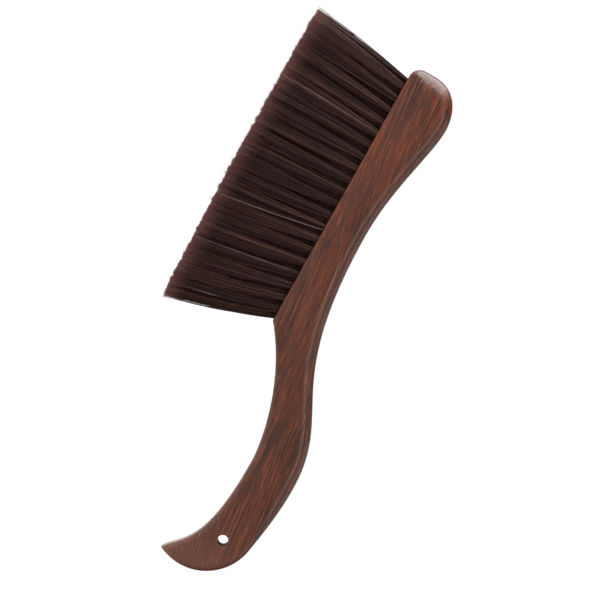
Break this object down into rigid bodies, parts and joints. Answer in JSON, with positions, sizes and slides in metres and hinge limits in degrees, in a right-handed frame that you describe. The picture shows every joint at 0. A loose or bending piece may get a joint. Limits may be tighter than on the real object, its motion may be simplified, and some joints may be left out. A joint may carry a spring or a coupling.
{
  "type": "long-handled soft brush",
  "caption": "Long-handled soft dusting brush with a curved one-piece hardwood handle, a fish-tail end with a hanging hole, and a straight field of long soft bristle tufts.",
  "frame": {"origin": "on the plane of the trimmed bristle tips, under the middle of the brush's whole length and of the wood's thickness", "axes": "+X along the brush from the head to the tail, +Y across the thickness of the wood, +Z from the bristle tips up to the wood"},
  "size_m": [0.3518, 0.0392, 0.1375],
  "materials": {
    "wood": "satin",
    "bristle": "satin",
    "anchor_wire": "satin"
  },
  "bodies": {
    "root": {"handle": "wood", "tuft_rank_01": "bristle", "tuft_rank_02": "bristle", "tuft_rank_03": "bristle", "tuft_rank_04": "bristle", "tuft_rank_05": "bristle", "tuft_rank_06": "bristle", "tuft_rank_07": "bristle", "tuft_rank_08": "bristle", "tuft_rank_09": "bristle", "tuft_rank_10": "bristle", "tuft_rank_11": "bristle", "tuft_rank_12": "bristle", "tuft_rank_13": "bristle", "tuft_rank_14": "bristle", "tuft_rank_15": "bristle", "tuft_rank_16": "bristle", "tuft_rank_17": "bristle", "tuft_rank_18": "bristle", "tuft_rank_19": "bristle", "tuft_rank_20": "bristle", "tuft_rank_21": "bristle", "anchor_rank_01": "anchor_wire", "anchor_rank_02": "anchor_wire", "anchor_rank_03": "anchor_wire", "anchor_rank_04": "anchor_wire", "anchor_rank_05": "anchor_wire", "anchor_rank_06": "anchor_wire", "anchor_rank_07": "anchor_wire", "anchor_rank_08": "anchor_wire", "anchor_rank_09": "anchor_wire", "anchor_rank_10": "anchor_wire", "anchor_rank_11": "anchor_wire", "anchor_rank_12": "anchor_wire", "anchor_rank_13": "anchor_wire", "anchor_rank_14": "anchor_wire", "anchor_rank_15": "anchor_wire", "anchor_rank_16": "anchor_wire", "anchor_rank_17": "anchor_wire", "anchor_rank_18": "anchor_wire", "anchor_rank_19": "anchor_wire", "anchor_rank_20": "anchor_wire", "anchor_rank_21": "anchor_wire"}
  },
  "joints": []
}
